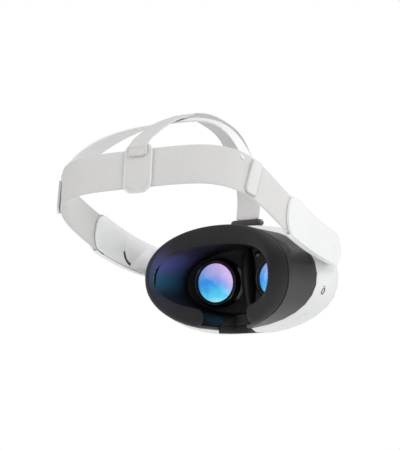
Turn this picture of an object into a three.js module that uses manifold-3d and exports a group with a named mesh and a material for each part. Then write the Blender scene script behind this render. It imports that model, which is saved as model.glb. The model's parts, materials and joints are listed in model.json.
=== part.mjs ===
// Stand-alone VR headset: a pill-shaped visor with two sliding lens pods, a removable facial
// interface, and a strap of two speaker arms, a rear band, a crown band and a top strap.
// Millimetres. +X is the wearer's left, +Y points back to the head, +Z is up.
// The drawing measures Y from the rear rim of the visor shell. The finished group is moved so that
// its origin lies on the flat underside of the visor, in the middle, ahead of the nose notch.
import * as THREE from 'three';
import { mergeVertices } from 'three/addons/utils/BufferGeometryUtils.js';
import Module from 'manifold-3d';

const wasm = await Module();
wasm.setup();

// ---------------------------------------------------------------- driving dimensions
const GAP = 0.3;                  // between neighbouring pieces
const ORIGIN_Y = -43;             // of the finished part, in the drawing
const MID = 49;                   // height of the visor's centre line above its underside
const POWER = 2.2;                // superellipse power of the visor's outline, 2 is an ellipse
const TURNS = 32;                 // facets around the visor

const WALL = 2.2;                 // visor shell wall
const SHELL_HALF_WIDTH = 87.4;
const SHELL_HALF_HEIGHT = 50.4;   // trimmed flat at the underside
const RIM_HALF_WIDTH = 85;        // rear rim of the shell, where the interface meets it
const RIM_HALF_HEIGHT = 46.3;
const DOME_START = -42;           // the front face starts to round over here
const DOME_DEPTH = 18;
const COVER_SEAM = -49;           // front cover in front, rear shell behind

const LENS_SPACING = 64;          // between the lens centres at rest
const LENS_TRAVEL = 3.5;          // each pod, either way
const LENS_FRONT = -28;           // Y of the barrel's rim, nearest the eye
const BARREL_RADIUS = 22;
const SHROUD_PLANE = -38;
const POD_BACK = -43.2;
const RAIL_HEIGHT = 25.2;         // rails above and below the lens centre
const RAIL_Y = -40.9;
const SCREW_DROP = 37.5;          // lead screw below the centre line
const IPD_WHEEL_X = 50;
const IPD_WHEEL_RADIUS = 6.5;

const FACE_HALF_WIDTH = 65;       // rim of the face cushion
const FACE_HALF_HEIGHT = 47.6;
const FACE_RISE = 2.2;            // rim centre above the visor's centre line
const TEMPLE_REACH = 49;          // Y of the rim at the temples
const FOREHEAD_REACH = 25.5;
const CHEEK_REACH = 19.5;
const NOSE_DIP = 26;              // the rim dips this far back towards the visor at the nose
const CUSHION_SEAM = 0.64;        // share of the way from the shell to the rim

const BAND_HALF_WIDTH = 95.5;     // rear band, centre of its thickness
const BAND_CORNER_START = 85;     // Y where the band starts to turn round the head
const BAND_DEPTH = 82;            // from there to its rearmost point
const BAND_POWER = 4.4;
const BAND_TILT = 10.3 * Math.PI / 180;
const BAND_HEIGHT_AT_RIM = 26.3;  // above the centre line at Y = 0
const BAND_BOW = 45;              // extra rise at Y = 200
const BAND_WIDTH = 34;
const BAND_THICKNESS = 2.4;
const BAND_TUCK = 20;             // length of each band end held inside an arm
const TUCK_TURN = 0.35;           // share of the curve's turn given to it, in radians
const ARM_FRONT_X = 91;
const ARM_FRONT_Y = -34;
const ARM_WIDTH = 35;
const ARM_TAPER = 0.78;           // width at the front end as a share of the width at the back
const PIVOT_Y = -17;

const CROWN_START_Y = 140;
const CROWN_HALF_WIDTH = 92.5;
const CROWN_BASE = 66;            // height of its ends above the centre line
const CROWN_RISE = 70.5;
const CROWN_FORWARD = 46;
const CROWN_LEAN = 3;             // how late, up the crown, it leans forward
const CROWN_POWER = 2;
const CROWN_WIDTH = 24;
const TOP_STRAP_WIDTH = 24;
const STEM_WIDTH = 18;

// ---------------------------------------------------------------- geometry helpers
const headset = new THREE.Group();

// Adds one named piece with its own material.
function piece(name, shape, look) {
  const mesh = new THREE.Mesh(geometryOf(shape), new THREE.MeshStandardMaterial(look));
  mesh.name = name;
  headset.add(mesh);
}

// Turns a closed geometry into a solid: merges its corners, drops empty facets, faces it outwards.
function solidOf(geometry) {
  const bare = geometry.clone();
  bare.deleteAttribute('normal');
  bare.deleteAttribute('uv');
  const merged = mergeVertices(bare, 1e-4);
  const index = merged.index.array;
  const corner = (i) => new THREE.Vector3().fromBufferAttribute(merged.attributes.position, i);
  const faces = [];
  let volume = 0;
  for (let i = 0; i < index.length; i += 3) {
    const [a, b, c] = index.slice(i, i + 3);
    if (a === b || b === c || c === a) continue;
    faces.push([a, b, c]);
    volume += corner(a).dot(corner(b).cross(corner(c)));
  }
  const facing = volume < 0 ? faces.map(([a, b, c]) => [a, c, b]) : faces;
  return new wasm.Manifold(new wasm.Mesh({
    numProp: 3,
    vertProperties: new Float32Array(merged.attributes.position.array),
    triVerts: new Uint32Array(facing.flat()),
  }));
}

function geometryOf(solid) {
  const mesh = solid.getMesh();
  const geometry = new THREE.BufferGeometry();
  geometry.setAttribute('position', new THREE.BufferAttribute(mesh.vertProperties, 3));
  geometry.setIndex(new THREE.BufferAttribute(mesh.triVerts, 1));
  geometry.computeVertexNormals();
  return geometry;
}

// A box by its centre and size.
function block(size, centre) {
  return solidOf(new THREE.BoxGeometry(...size).translate(...centre));
}

// A round bar along an axis, by its centre.
function rod(radius, length, axis, centre, facets = 16) {
  const geometry = new THREE.CylinderGeometry(radius, radius, length, facets);
  if (axis === 'x') geometry.rotateZ(Math.PI / 2);
  if (axis === 'z') geometry.rotateX(Math.PI / 2);
  return solidOf(geometry.translate(...centre));
}

// A bar with a slot-shaped (fully rounded) section, standing along an axis.
function slotBar(width, height, length, axis, centre) {
  const radius = height / 2;
  const reach = width / 2 - radius;
  const outline = new THREE.Shape();
  outline.absarc(reach, 0, radius, -Math.PI / 2, Math.PI / 2);
  outline.absarc(-reach, 0, radius, Math.PI / 2, Math.PI * 1.5);
  const settings = { depth: length, bevelEnabled: false, curveSegments: 6 };
  const geometry = new THREE.ExtrudeGeometry(outline, settings).translate(0, 0, -length / 2);
  if (axis === 'y') geometry.rotateX(Math.PI / 2);
  if (axis === 'x') geometry.rotateZ(Math.PI / 2).rotateY(Math.PI / 2);
  return solidOf(geometry.translate(...centre));
}

// A bar with an arc-shaped section, standing along X. Angles run from +Y towards +Z.
function arcBar(radius, width, from, to, length, centre) {
  const outline = new THREE.Shape();
  outline.absarc(0, 0, radius + width / 2, from, to);
  outline.absarc(0, 0, radius - width / 2, to, from, true);
  const settings = { depth: length, bevelEnabled: false, curveSegments: 8 };
  const geometry = new THREE.ExtrudeGeometry(outline, settings).translate(0, 0, -length / 2);
  geometry.rotateZ(Math.PI / 2).rotateY(Math.PI / 2);
  return solidOf(geometry.translate(...centre));
}

// A ring turned about the lens axis (Y) from a closed outline of [radius, y] corners.
function turned(outline, centre, facets = 32) {
  const points = [...outline, outline[0]].map(([radius, y]) => new THREE.Vector2(radius, y));
  return solidOf(new THREE.LatheGeometry(points, facets).translate(...centre));
}

// A turned disc or dome, closed on the axis at both ends.
function domed(outline, centre, facets = 32) {
  const points = outline.map(([radius, y]) => new THREE.Vector2(radius, y));
  return solidOf(new THREE.LatheGeometry(points, facets).translate(...centre));
}

const powered = (value, power) => Math.sign(value) * Math.abs(value) ** (2 / power);

// How far back the face rim reaches at an angle around the visor.
function rimReach(side, up) {
  const base = up > 0 ? FOREHEAD_REACH : CHEEK_REACH;
  const dip = up > 0 ? 0 : NOSE_DIP * Math.max(0, 1 - Math.abs(side) / 0.42);
  return base + (TEMPLE_REACH - base) * side * side - dip;
}

// A body through pill-shaped rings. Each ring is [half width, half height, y, share of face reach,
// rise]; the share leans the ring back to follow the face.
function rings(list, turns = TURNS) {
  const line = list.map(() => new THREE.Vector2(1, 0));
  const geometry = new THREE.LatheGeometry(line, turns);
  const position = geometry.attributes.position;
  for (let i = 0; i < position.count; i++) {
    const [halfWidth, halfHeight, y, share = 0, rise = 0] = list[i % list.length];
    const angle = 2 * Math.PI * Math.floor(i / list.length) / turns;
    const side = powered(Math.cos(angle), POWER);
    const up = powered(Math.sin(angle), POWER);
    position.setXYZ(i, halfWidth * side, y + share * rimReach(side, up), MID + rise + halfHeight * up);
  }
  return solidOf(geometry);
}

// ---------------------------------------------------------------- the visor's form
// Rings of the visor's outside, from the rear rim to the middle of the front face, drawn in by a wall.
function visorRings(inset) {
  const list = [
    [RIM_HALF_WIDTH, RIM_HALF_HEIGHT, 0],
    [86.2, 48, -4],
    [87, 49.7, -10],
    [SHELL_HALF_WIDTH, SHELL_HALF_HEIGHT, -20],
    [SHELL_HALF_WIDTH, SHELL_HALF_HEIGHT, -32],
  ].map(([width, height, y]) => [width - inset, height - inset, y]);
  for (const share of [0, 0.25, 0.45, 0.65, 0.82, 1]) {
    const turn = share * Math.PI / 2;
    const width = (86.8 - inset) * Math.cos(turn) ** 0.35;
    const height = (50 - inset) * Math.cos(turn) ** 0.5;
    const y = DOME_START - (DOME_DEPTH - inset) * Math.sin(turn);
    list.push(share === 1 ? [0, 0, y] : [width, height, y]);
  }
  return list;
}

// The visor's outside as a solid block, drawn in by an inset, open to the rear.
function visorBlock(inset, rear = 0) {
  const list = visorRings(inset);
  return rings([[0, 0, rear], [list[0][0], list[0][1], rear], ...list.slice(rear > 0 ? 0 : 1)]);
}

const aboveFloor = block([300, 300, 200], [0, 0, 100]);
const outerVisor = visorBlock(0).intersect(aboveFloor);
const innerVisor = visorBlock(WALL, 1).intersect(block([300, 300, 200], [0, 0, 100 + WALL - 0.4]));
const visorShell = outerVisor.subtract(innerVisor);
const inFrontOf = (y) => block([300, 100, 300], [0, y - 50, MID]);
const behind = (y) => block([300, 100, 300], [0, y + 50, MID]);

// The room for the nose: an arch that runs back from a rounded front, wider towards the nostrils.
const NOSE_OUTLINE = [[13.5, -6], [13.2, 8], [12.2, 16], [9.8, 23], [6, 28]];
const NOSE_TOP = 30;
const NOSE_FRONT_CENTRE = -27.5;
const NOSE_STRETCH = 0.62;

function noseRoom(grow) {
  const sides = NOSE_OUTLINE.map(([radius, z]) => [radius + grow, z]);
  const top = NOSE_TOP + grow;
  const corners = [...sides, [0, top], ...sides.map(([x, z]) => [-x, z]).reverse()];
  const outline = new THREE.Shape(corners.map(([x, z]) => new THREE.Vector2(x, z)));
  const arch = new THREE.ExtrudeGeometry(outline, { depth: 90, bevelEnabled: false });
  arch.rotateX(Math.PI / 2).translate(0, NOSE_FRONT_CENTRE + 90, 0);
  const points = [[0, sides[0][1]], ...sides, [0, top]].map(([radius, z]) => new THREE.Vector2(radius, z));
  const front = new THREE.LatheGeometry(points, 28).rotateX(Math.PI / 2).scale(1, NOSE_STRETCH, 1);
  return solidOf(arch).add(solidOf(front.translate(0, NOSE_FRONT_CENTRE, 0)));
}

const nose = noseRoom(0);
const NOSE_WALL = 1.6;
const TRIM_WALL = 3.2;
const TRIM_TOP = 7.5;               // of the soft trim round the notch, above the underside

// ---------------------------------------------------------------- looks
const WHITE = { color: 0xe9eaec, roughness: 0.5, metalness: 0 };
const CLOTH = { color: 0xdcdcdf, roughness: 0.9, metalness: 0 };
const DARK = { color: 0x1c1c20, roughness: 0.6, metalness: 0 };
const FOAM = { color: 0x26262a, roughness: 0.95, metalness: 0 };
const BLACK = { color: 0x08080a, roughness: 0.25, metalness: 0 };
const STEEL = { color: 0xb9bcc0, roughness: 0.35, metalness: 1 };
const BOARD = { color: 0x12402a, roughness: 0.6, metalness: 0 };
const ALLOY = { color: 0x8d9197, roughness: 0.5, metalness: 1 };
const COPPER = { color: 0xb06a3c, roughness: 0.4, metalness: 1 };
const GLASS = { color: 0x3a5fc0, roughness: 0.05, metalness: 0 };
const LIGHT = { color: 0xf2f6ff, roughness: 0.3, metalness: 0 };
const CELL = { color: 0x3c3f44, roughness: 0.5, metalness: 0 };

// ---------------------------------------------------------------- visor shells and their openings
const SENSOR_HEIGHT = MID + 24;
const TRACKING = { x: 66, z: MID - 15, radius: 5.2 };
const USB = { y: -14, z: MID - 15, x: 86.6 };
const JACK = { y: -14, z: MID - 15.4, x: 86.5 };
const POWER_KEY = { y: -30, z: MID - 7 };
const ROCKER = { x: -52, y: -14, length: 26, width: 5 };
const LAMP = { y: -41, z: MID - 7 };
const PIVOT_Z = MID + BAND_HEIGHT_AT_RIM + PIVOT_Y * Math.tan(BAND_TILT);
const IPD_AXIS_Z = MID - SCREW_DROP;

function frontCover() {
  let cover = visorShell.intersect(inFrontOf(COVER_SEAM - GAP));
  cover = cover.subtract(slotBar(104, 13, 30, 'y', [0, -60, SENSOR_HEIGHT]));
  for (const side of [-1, 1]) {
    cover = cover.subtract(rod(TRACKING.radius + GAP, 30, 'y', [side * TRACKING.x, -58, TRACKING.z], 20));
  }
  return cover;
}

function rearShell() {
  let shell = visorShell.intersect(behind(COVER_SEAM));
  shell = shell.subtract(slotBar(11.6, 5.8, 20, 'x', [USB.x - 3, USB.y, USB.z]));
  shell = shell.subtract(rod(4, 20, 'x', [3 - JACK.x, JACK.y, JACK.z]));
  shell = shell.subtract(slotBar(13.2, 5.8, 12, 'x', [87, POWER_KEY.y, POWER_KEY.z]));
  shell = shell.subtract(rod(1.4, 12, 'x', [87, LAMP.y, LAMP.z], 12));
  shell = shell.subtract(block([ROCKER.length + 0.8, ROCKER.width + 0.8, 20], [ROCKER.x, ROCKER.y, 12]));
  shell = shell.subtract(block([6, 2 * IPD_WHEEL_RADIUS + 1.2, 20], [IPD_WHEEL_X, RAIL_Y, 6]));
  shell = shell.subtract(noseRoom(TRIM_WALL + GAP));
  for (const side of [-1, 1]) {
    shell = shell.subtract(rod(4.3, 20, 'x', [side * 80, PIVOT_Y, PIVOT_Z]));
    for (const x of [27, 39]) {
      shell = shell.subtract(block([9, 2, 20], [side * x, -43.5, 96]));
    }
  }
  return shell;
}

piece('front_cover', frontCover(), WHITE);
piece('rear_shell', rearShell(), WHITE);
piece('sensor_window', visorShell.intersect(slotBar(103.4, 12.4, 30, 'y', [0, -60, SENSOR_HEIGHT])), BLACK);

// ---------------------------------------------------------------- front row: cameras, cooling, boards
function camera(x) {
  const body = block([8, 3.6, 8], [x, -53.7, SENSOR_HEIGHT]);
  return body.add(rod(2.6, 0.8, 'y', [x, -55.5, SENSOR_HEIGHT]));
}

for (const [side, x] of [['left', 32], ['right', -32]]) {
  piece(`passthrough_camera_${side}`, camera(x), BLACK);
  const trackingBar = rod(TRACKING.radius, 12, 'y', [Math.sign(x) * TRACKING.x, -58.5, TRACKING.z], 20);
  piece(`tracking_camera_${side}`, trackingBar.intersect(outerVisor), BLACK);
}
const projector = block([12, 3.4, 7], [0, -53.7, SENSOR_HEIGHT]);
piece('depth_projector', projector.add(rod(2, 1, 'y', [2, -55.5, SENSOR_HEIGHT])), BLACK);

const FAN = { z: MID - 17, radius: 14, front: -55.4, back: -52 };

function fanHousing() {
  const { z, radius, front, back } = FAN;
  const cup = turned([[0.9, front + 0.4], [0.9, back - 0.8], [radius - 1, back - 0.8], [radius - 1, front],
    [radius, front], [radius, back], [0.4, back], [0.4, front + 0.4]], [0, 0, z], 18);
  return cup.subtract(block([12, 2.2, 8], [0, front + 1.1, z + radius - 2]));
}

function fanRotor() {
  const { z, front } = FAN;
  const blades = 11;
  const hub = [[1.3, front + 0.3], [4, front + 0.3], [4, front + 2.2], [1.3, front + 2.2]];
  let rotor = turned(hub, [0, 0, z], 12);
  for (let i = 0; i < blades; i++) {
    const turn = 2 * Math.PI * i / blades;
    const blade = new THREE.BoxGeometry(8.5, 1.6, 0.9).translate(7.9, front + 1.3, 0);
    blade.rotateY(0.35).rotateY(turn).translate(0, 0, z);
    rotor = rotor.add(solidOf(blade));
  }
  return rotor;
}

function heatsink() {
  let sink = block([42, 1, 20], [0, -53.8, MID + 6]);
  for (let i = -6; i <= 6; i++) {
    sink = sink.add(block([1, 1.8, 20], [i * 3.2, -55.1, MID + 6]));
  }
  return sink;
}

piece('fan_housing', fanHousing(), DARK);
piece('fan_rotor', fanRotor(), DARK);
piece('heatsink', heatsink(), COPPER);
piece('processor', block([16, 1.2, 14], [0, -52.5, MID + 6]), BLACK);
piece('mainboard', block([104, 1.1, 52], [0, -51.2, MID + 1]), BOARD);
piece('battery', block([104, 4.4, 30], [0, -47.9, MID - 9]), CELL);

function chassis() {
  const slab = block([300, 1.2, 300], [0, -44.5, MID]);
  let plate = visorBlock(WALL + 0.6).intersect(slab);
  for (const side of [-1, 1]) {
    plate = plate.subtract(rod(13, 4, 'y', [side * LENS_SPACING / 2, -44.5, MID], 20));
    for (const z of [-RAIL_HEIGHT, RAIL_HEIGHT]) {
      plate = plate.add(block([4, 4.6, 5], [side * 63.5, -42.2, MID + z]));
    }
    for (const z of [-18, 18]) {
      plate = plate.subtract(rod(1.4, 4, 'y', [side * 72, -44.5, MID + z], 12));
    }
    plate = plate.subtract(block([20, 4, 12], [side * 18, -44.5, MID + 37]));
  }
  return plate.subtract(block([8, 4, 20], [IPD_WHEEL_X, -44.5, IPD_AXIS_Z - 2]));
}

piece('chassis', chassis(), ALLOY);
for (const [i, [x, z]] of [[72, 18], [-72, 18], [72, -18], [-72, -18]].entries()) {
  const head = rod(2.2, 1.4, 'y', [x, -42.9, MID + z], 16);
  piece(`chassis_screw_${i + 1}`, head.add(rod(1, 5, 'y', [x, -45.6, MID + z], 12)), STEEL);
}

// ---------------------------------------------------------------- lens shroud and nose column
function egg(radii, centre) {
  return solidOf(new THREE.SphereGeometry(1, 20, 12).scale(...radii).translate(...centre));
}

const aboveTrim = block([300, 300, 200], [0, 0, 100 + TRIM_TOP + GAP]);

// Soft edging round the nose notch, from the underside up to the shroud's nose wall.
function noseTrim() {
  const height = TRIM_TOP - 0.4;
  const layer = block([60, 80, height], [0, -41, 0.4 + height / 2]);
  return noseRoom(TRIM_WALL).subtract(nose).intersect(layer);
}

function lensShroud() {
  const deep = SHROUD_PLANE;
  const outside = [[82.2, 43.6, -1], [76, 38.5, -14], [69.5, 34, -28], [67, 31.5, deep]];
  const inside = [[65.4, 30, deep + 1.5], [67.8, 32.4, -27], [74.4, 37, -13.4], [80.6, 42, -1]];
  const cup = rings([...outside, [0, 0, deep], [0, 0, deep + 1.5], ...inside, outside[0]]);
  const room = rings([[0, 0, -1], ...outside, [0, 0, deep]]);
  const column = egg([7, 12, 32], [0, deep, MID + 3]);
  const cavity = rings([[0, 0, 1], [80.6, 42, 1], ...inside.slice().reverse(), [0, 0, deep + 1.5]]);
  const interior = visorBlock(WALL + GAP, -1).intersect(behind(deep)).intersect(aboveTrim);
  const noseWall = noseRoom(NOSE_WALL).intersect(interior).subtract(cavity);
  const trimRoom = noseRoom(TRIM_WALL + GAP).subtract(aboveTrim);
  let shroud = cup.add(column.intersect(room)).add(noseWall).subtract(nose).subtract(trimRoom);
  for (const side of [-1, 1]) {
    const width = 2 * (BARREL_RADIUS + 0.6 + LENS_TRAVEL);
    const centre = [side * LENS_SPACING / 2, deep + 10, MID];
    shroud = shroud.subtract(slotBar(width, 2 * (BARREL_RADIUS + 0.6), 34, 'y', centre));
  }
  return shroud;
}

piece('lens_shroud', lensShroud(), DARK);
piece('nose_trim', noseTrim(), DARK);
piece('proximity_sensor', rod(2.6, 1, 'y', [-10, SHROUD_PLANE + 2.4, MID + 24.5]), BLACK);

// ---------------------------------------------------------------- lens pods on their rails
function barrel(x) {
  const rim = LENS_FRONT;
  const tube = turned([[19.7, rim - 1.2], [20.6, rim], [21.5, rim], [BARREL_RADIUS, rim - 0.8],
    [BARREL_RADIUS, POD_BACK], [20.2, POD_BACK], [20.2, rim - 8], [17.6, rim - 8],
    [17.6, rim - 7.2], [19.7, rim - 7.2]], [x, 0, MID]);
  const flange = block([47, 4.4, 2 * RAIL_HEIGHT + 6], [x, -41, MID]);
  const nut = block([8, 4.4, 14], [x, -41, MID - RAIL_HEIGHT - 8.5]);
  let pod = flange.add(nut).subtract(rod(20.9, 10, 'y', [x, -41, MID], 32)).add(tube);
  for (const z of [-RAIL_HEIGHT, RAIL_HEIGHT]) {
    pod = pod.subtract(rod(1.35, 60, 'x', [x, RAIL_Y, MID + z], 16));
  }
  return pod.subtract(rod(1.6, 60, 'x', [x, RAIL_Y, IPD_AXIS_Z], 16));
}

function lens(x) {
  const rim = LENS_FRONT;
  return domed([[0, rim - 7], [19.3, rim - 7], [19.3, rim - 2.4], [17.5, rim - 1.7], [14, rim - 0.9],
    [9, rim - 0.3], [0, rim]], [x, 0, MID], 48);
}

for (const [side, x] of [['left', LENS_SPACING / 2], ['right', -LENS_SPACING / 2]]) {
  piece(`lens_barrel_${side}`, barrel(x), BLACK);
  piece(`lens_${side}`, lens(x), GLASS);
  piece(`display_${side}`, block([27, 1.4, 27], [x, POD_BACK + 2, MID]), BLACK);
}
for (const [name, z] of [['upper', RAIL_HEIGHT], ['lower', -RAIL_HEIGHT]]) {
  piece(`lens_rail_${name}`, rod(1, 122, 'x', [0, RAIL_Y, MID + z], 12), STEEL);
}
piece('lead_screw', rod(1.2, 98, 'x', [3.2, RAIL_Y, IPD_AXIS_Z], 10), STEEL);

function ipdWheel() {
  let wheel = rod(IPD_WHEEL_RADIUS, 4.4, 'x', [IPD_WHEEL_X, RAIL_Y, IPD_AXIS_Z], 24);
  const notches = 12;
  for (let i = 0; i < notches; i++) {
    const turn = 2 * Math.PI * i / notches;
    const y = RAIL_Y + (IPD_WHEEL_RADIUS + 0.2) * Math.cos(turn);
    const z = IPD_AXIS_Z + (IPD_WHEEL_RADIUS + 0.2) * Math.sin(turn);
    wheel = wheel.subtract(rod(0.45, 6, 'x', [IPD_WHEEL_X, y, z], 6));
  }
  return wheel.subtract(rod(1.5, 8, 'x', [IPD_WHEEL_X, RAIL_Y, IPD_AXIS_Z], 12));
}

piece('ipd_wheel', ipdWheel(), WHITE);

// ---------------------------------------------------------------- ports and keys
function usbPort() {
  const depth = 8;
  const outside = slotBar(10.8, 5, depth, 'x', [USB.x - depth / 2 + 0.3, USB.y, USB.z]);
  const cavity = slotBar(8.6, 2.8, depth, 'x', [USB.x + 0.3 - depth / 2 + 1.5, USB.y, USB.z]);
  return outside.subtract(cavity).add(block([6, 6.4, 0.7], [USB.x - 4.4, USB.y, USB.z]));
}

function audioJack() {
  const end = -JACK.x - 0.3;
  const outline = [[1.8, 0], [3.5, 0], [3.7, -0.5], [3.7, -9], [0, -9], [0, -8], [1.8, -8], [1.8, 0]];
  const tube = new THREE.LatheGeometry(outline.map(([radius, y]) => new THREE.Vector2(radius, y)), 28);
  return solidOf(tube.rotateZ(Math.PI / 2).translate(end, JACK.y, JACK.z));
}

function powerButton() {
  const cap = slotBar(12.4, 5, 5.8, 'x', [84.9, POWER_KEY.y, POWER_KEY.z]);
  return cap.add(slotBar(15, 7.4, 1, 'x', [82.3, POWER_KEY.y, POWER_KEY.z]));
}

piece('usb_c_port', usbPort(), STEEL);
piece('audio_jack', audioJack(), BLACK);
piece('power_button', powerButton(), WHITE);
const rockerRoom = block([ROCKER.length, ROCKER.width, 20], [ROCKER.x, ROCKER.y, 12]);
piece('volume_rocker', visorShell.intersect(rockerRoom), WHITE);
const lamp = rod(1.1, 12, 'x', [84, LAMP.y, LAMP.z], 12).intersect(outerVisor);
piece('status_lamp', lamp.subtract(block([8, 8, 8], [80.5, LAMP.y, LAMP.z])), LIGHT);

// ---------------------------------------------------------------- facial interface
// A ring of the interface, a share of the way from the shell's rim to the face, drawn in by an inset.
function faceRing(share, inset, drop = inset) {
  const width = RIM_HALF_WIDTH + (FACE_HALF_WIDTH - RIM_HALF_WIDTH) * share - inset;
  const height = RIM_HALF_HEIGHT + (FACE_HALF_HEIGHT - RIM_HALF_HEIGHT) * share - drop;
  return [width, height, 0.4 * (1 - share), share, FACE_RISE * share];
}

function interfaceFrame() {
  const outside = [0, 0.22, 0.44, CUSHION_SEAM].map((share) => faceRing(share, 0.1));
  const inside = [CUSHION_SEAM, 0.3, 0].map((share) => faceRing(share, 2.2));
  const frame = rings([...outside, ...inside, outside[0]]);
  return frame.subtract(noseRoom(1.5));
}

function faceCushion() {
  const seam = CUSHION_SEAM + 0.02;
  const outline = [faceRing(seam, 0.3), faceRing(0.8, 0), faceRing(0.93, 0.6), faceRing(1, 3.5, 4),
    faceRing(1, 6.5, 12), faceRing(0.94, 8.5, 17), faceRing(0.82, 8, 18), faceRing(seam, 5, 12)];
  const cushion = rings([...outline, outline[0]]);
  return cushion.subtract(noseRoom(3));
}

// ---------------------------------------------------------------- ribbons: straps, bands and arms
// A strip along a curve between two distances, with its width along `across` and rounded corners.
function ribbon({ curve, start = 0, end = curve.getLength(), width, thickness, across, offset = 0, radius = 0,
  taper = 1, segments = 24 }) {
  const strip = new THREE.BoxGeometry(1, 1, 1, segments, 1, 1);
  const position = strip.attributes.position;
  const total = curve.getLength();
  for (let i = 0; i < position.count; i++) {
    const share = position.getX(i) + 0.5;
    const eased = radius > 0 ? (1 - Math.cos(Math.PI * share)) / 2 : share;
    const distance = start + (end - start) * eased;
    const place = THREE.MathUtils.clamp(distance / total, 0, 1);
    const point = curve.getPointAt(place);
    const along = curve.getTangentAt(place);
    const up = across(along, place);
    up.addScaledVector(along, -up.dot(along)).normalize();
    const outward = along.clone().cross(up);
    const toEnd = Math.min(distance - start, end - distance, radius);
    const corner = radius > 0 ? radius - Math.sqrt(Math.max(0, radius * radius - (radius - toEnd) ** 2)) : 0;
    const halfWidth = Math.max(width / 2 * (taper + (1 - taper) * place) - corner, 0.05);
    point.addScaledVector(outward, offset + position.getY(i) * thickness);
    point.addScaledVector(up, 2 * position.getZ(i) * halfWidth);
    position.setXYZ(i, point.x, point.y, point.z);
  }
  return solidOf(strip);
}

// Height of the band above the underside at a distance back.
function bandHeight(y) {
  return MID + BAND_HEIGHT_AT_RIM + y * Math.tan(BAND_TILT) + BAND_BOW * (y / 200) ** 2;
}

// Distance of the arms and the band's ends from the middle plane at a distance back.
function armX(y) {
  const left = THREE.MathUtils.clamp((BAND_CORNER_START - y) / (BAND_CORNER_START - ARM_FRONT_Y), 0, 1);
  return BAND_HALF_WIDTH + (ARM_FRONT_X - BAND_HALF_WIDTH) * left ** 1.5;
}

// One side of the head, from the arm's front back to where the band starts to turn.
class ArmCurve extends THREE.Curve {
  constructor(side) {
    super();
    this.side = side;
  }

  getPoint(t, target = new THREE.Vector3()) {
    const y = ARM_FRONT_Y + (BAND_CORNER_START - ARM_FRONT_Y) * t;
    return target.set(this.side * armX(y), y, bandHeight(y));
  }
}

// Round the back of the head, from inside the left arm to inside the right arm.
class RearCurve extends THREE.Curve {
  getPoint(t, target = new THREE.Vector3()) {
    const turn = (Math.PI + 2 * TUCK_TURN) * t - TUCK_TURN;
    const tucked = Math.max(-turn, turn - Math.PI) / TUCK_TURN;
    if (tucked > 0) {
      const y = BAND_CORNER_START - BAND_TUCK * tucked;
      return target.set(turn < 0 ? armX(y) : -armX(y), y, bandHeight(y));
    }
    const x = BAND_HALF_WIDTH * powered(Math.cos(turn), BAND_POWER);
    const y = BAND_CORNER_START + BAND_DEPTH * Math.sin(turn) ** (2 / BAND_POWER);
    return target.set(x, y, bandHeight(y));
  }
}

// Over the back of the crown, from the left fork to the right fork.
class CrownCurve extends THREE.Curve {
  getPoint(t, target = new THREE.Vector3()) {
    const turn = Math.PI * t;
    const lift = powered(Math.sin(turn), CROWN_POWER);
    const x = CROWN_HALF_WIDTH * powered(Math.cos(turn), CROWN_POWER);
    const y = CROWN_START_Y - CROWN_FORWARD * lift ** CROWN_LEAN;
    return target.set(x, y, MID + CROWN_BASE + CROWN_RISE * lift);
  }
}

const bandUp = () => new THREE.Vector3(0, -Math.sin(BAND_TILT), Math.cos(BAND_TILT));
const rearCurve = new RearCurve();
rearCurve.arcLengthDivisions = 600;
const crownCurve = new CrownCurve();
// The crown band faces sideways at its ends and up and back over the middle of the head.
function crownAcross(along, place) {
  const turn = Math.PI * place;
  const outward = new THREE.Vector3(Math.cos(turn), 0.25 * Math.sin(turn), 0.97 * Math.sin(turn));
  return outward.cross(along);
}
const sideways = () => new THREE.Vector3(1, 0, 0);

piece('interface_frame', interfaceFrame(), DARK);
piece('face_cushion', faceCushion(), FOAM);

const band = { curve: rearCurve, across: bandUp, segments: 36 };
for (const [side, sign] of [['left', 1], ['right', -1]]) {
  const curve = new ArmCurve(sign);
  const length = curve.getLength();
  const arm = { curve, across: bandUp, taper: ARM_TAPER };
  const { x, y, z } = curve.getPointAt(0.5);
  const hollow = ribbon({ ...arm, start: 4, end: length - 8, width: ARM_WIDTH - 5, thickness: 3.2,
    radius: 11, segments: 18 });
  const mouth = ribbon({ ...band, width: BAND_WIDTH + 1, thickness: 3.2 });
  const outer = ribbon({ ...arm, width: ARM_WIDTH + 2, thickness: 5.3, offset: sign * 1.15,
    radius: 14, segments: 22 });
  let inner = ribbon({ ...arm, start: 1, end: length - 1, width: ARM_WIDTH, thickness: 2.2,
    offset: -sign * 2.9, radius: 13, segments: 20 });
  inner = inner.subtract(arcBar(12, 2.6, -1.45, 0, 12, [x - sign * 4, y, z - 1]));
  inner = inner.subtract(rod(3.6, 12, 'x', [sign * 88, PIVOT_Y, PIVOT_Z]));
  piece(`arm_${side}`, outer.subtract(hollow).subtract(mouth), WHITE);
  piece(`arm_liner_${side}`, inner, WHITE);
  piece(`speaker_${side}`, block([2, 18, 9], [x - sign * 0.2, y + 6, z - 4.5]), BLACK);
  const pivotPart = (radius, width, reach) => rod(radius, width, 'x', [sign * reach, PIVOT_Y, PIVOT_Z]);
  const pivot = pivotPart(3.2, 7.4, 86.4).add(pivotPart(3.8, 14, 76.6)).add(pivotPart(5, 1.2, 70.1));
  piece(`arm_pivot_${side}`, pivot, STEEL);
}

piece('rear_band', ribbon({ ...band, width: BAND_WIDTH, thickness: BAND_THICKNESS }), CLOTH);
const bandRoom = ribbon({ ...band, width: BAND_WIDTH + 0.8, thickness: 14 });
const crown = ribbon({ curve: crownCurve, width: CROWN_WIDTH, thickness: 2, across: crownAcross });
piece('crown_band', crown.subtract(bandRoom), CLOTH);

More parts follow.
